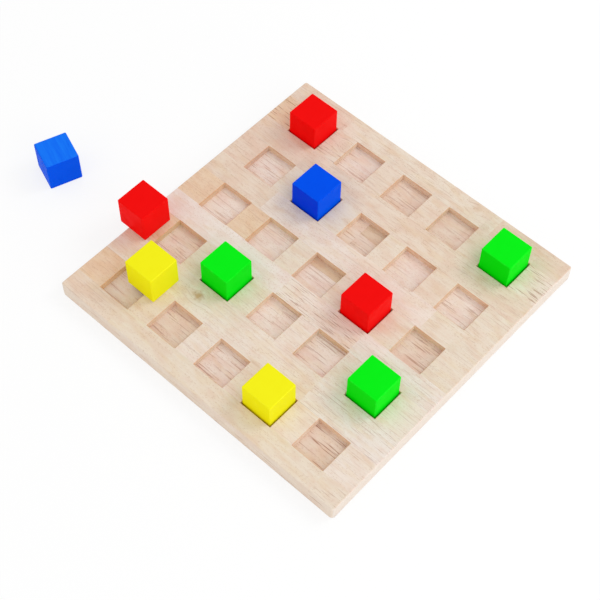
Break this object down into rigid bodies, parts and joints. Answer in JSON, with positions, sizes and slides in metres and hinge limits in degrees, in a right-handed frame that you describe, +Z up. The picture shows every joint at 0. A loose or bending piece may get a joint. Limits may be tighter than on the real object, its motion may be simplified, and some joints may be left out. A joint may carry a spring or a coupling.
{
  "type": "corner strategy board game",
  "caption": "Square wooden game board with a grid of shallow square pockets that seat loose painted wooden cubes.",
  "frame": {"origin": "centre of the board's flat underside", "axes": "+X along the grain of the staves, +Y across them, +Z up out of the pockets"},
  "size_m": [0.352, 0.254, 0.0384],
  "materials": {
    "lattice_wood": "sanded pale hardwood",
    "base_wood": "sanded pale hardwood",
    "red_paint": "satin red paint on wood",
    "blue_paint": "satin blue paint on wood",
    "green_paint": "satin green paint on wood",
    "yellow_paint": "satin yellow paint on wood"
  },
  "bodies": {
    "board": {"base_stave_1": "base_wood", "base_stave_2": "base_wood", "base_stave_3": "base_wood", "base_stave_4": "base_wood", "base_stave_5": "base_wood", "rail_1": "lattice_wood", "rail_2": "lattice_wood", "rail_3": "lattice_wood", "rail_4": "lattice_wood", "rail_5": "lattice_wood", "rail_6": "lattice_wood", "row_1_block_1": "lattice_wood", "row_1_block_2": "lattice_wood", "row_1_block_3": "lattice_wood", "row_1_block_4": "lattice_wood", "row_1_block_5": "lattice_wood", "row_1_block_6": "lattice_wood", "row_2_block_1": "lattice_wood", "row_2_block_2": "lattice_wood", "row_2_block_3": "lattice_wood", "row_2_block_4": "lattice_wood", "row_2_block_5": "lattice_wood", "row_2_block_6": "lattice_wood", "row_3_block_1": "lattice_wood", "row_3_block_2": "lattice_wood", "row_3_block_3": "lattice_wood", "row_3_block_4": "lattice_wood", "row_3_block_5": "lattice_wood", "row_3_block_6": "lattice_wood", "row_4_block_1": "lattice_wood", "row_4_block_2": "lattice_wood", "row_4_block_3": "lattice_wood", "row_4_block_4": "lattice_wood", "row_4_block_5": "lattice_wood", "row_4_block_6": "lattice_wood", "row_5_block_1": "lattice_wood", "row_5_block_2": "lattice_wood", "row_5_block_3": "lattice_wood", "row_5_block_4": "lattice_wood", "row_5_block_5": "lattice_wood", "row_5_block_6": "lattice_wood"},
    "red_cube_1": {"red_cube_1": "red_paint"},
    "red_cube_2": {"red_cube_2": "red_paint"},
    "blue_cube_1": {"blue_cube_1": "blue_paint"},
    "green_cube_1": {"green_cube_1": "green_paint"},
    "green_cube_2": {"green_cube_2": "green_paint"},
    "green_cube_3": {"green_cube_3": "green_paint"},
    "yellow_cube_1": {"yellow_cube_1": "yellow_paint"},
    "red_cube_3": {"red_cube_3": "red_paint"},
    "yellow_cube_2": {"yellow_cube_2": "yellow_paint"},
    "blue_cube_2": {"blue_cube_2": "blue_paint"}
  },
  "joints": [
    {"name": "red_cube_1_lift", "type": "slide", "parent": "board", "child": "red_cube_1", "axis": [0, 0, 1], "range_m": [0, 0.03]},
    {"name": "red_cube_2_lift", "type": "slide", "parent": "board", "child": "red_cube_2", "axis": [0, 0, 1], "range_m": [0, 0.03]},
    {"name": "blue_cube_1_lift", "type": "slide", "parent": "board", "child": "blue_cube_1", "axis": [0, 0, 1], "range_m": [0, 0.03]},
    {"name": "green_cube_1_lift", "type": "slide", "parent": "board", "child": "green_cube_1", "axis": [0, 0, 1], "range_m": [0, 0.03]},
    {"name": "green_cube_2_lift", "type": "slide", "parent": "board", "child": "green_cube_2", "axis": [0, 0, 1], "range_m": [0, 0.03]},
    {"name": "green_cube_3_lift", "type": "slide", "parent": "board", "child": "green_cube_3", "axis": [0, 0, 1], "range_m": [0, 0.03]},
    {"name": "yellow_cube_1_lift", "type": "slide", "parent": "board", "child": "yellow_cube_1", "axis": [0, 0, 1], "range_m": [0, 0.03]},
    {"name": "red_cube_3_lift", "type": "slide", "parent": "board", "child": "red_cube_3", "axis": [0, 0, 1], "range_m": [0, 0.03]},
    {"name": "yellow_cube_2_lift", "type": "slide", "parent": "board", "child": "yellow_cube_2", "axis": [0, 0, 1], "range_m": [0, 0.03]},
    {"name": "blue_cube_2_lift", "type": "slide", "parent": "board", "child": "blue_cube_2", "axis": [0, 0, 1], "range_m": [0, 0.03]}
  ]
}
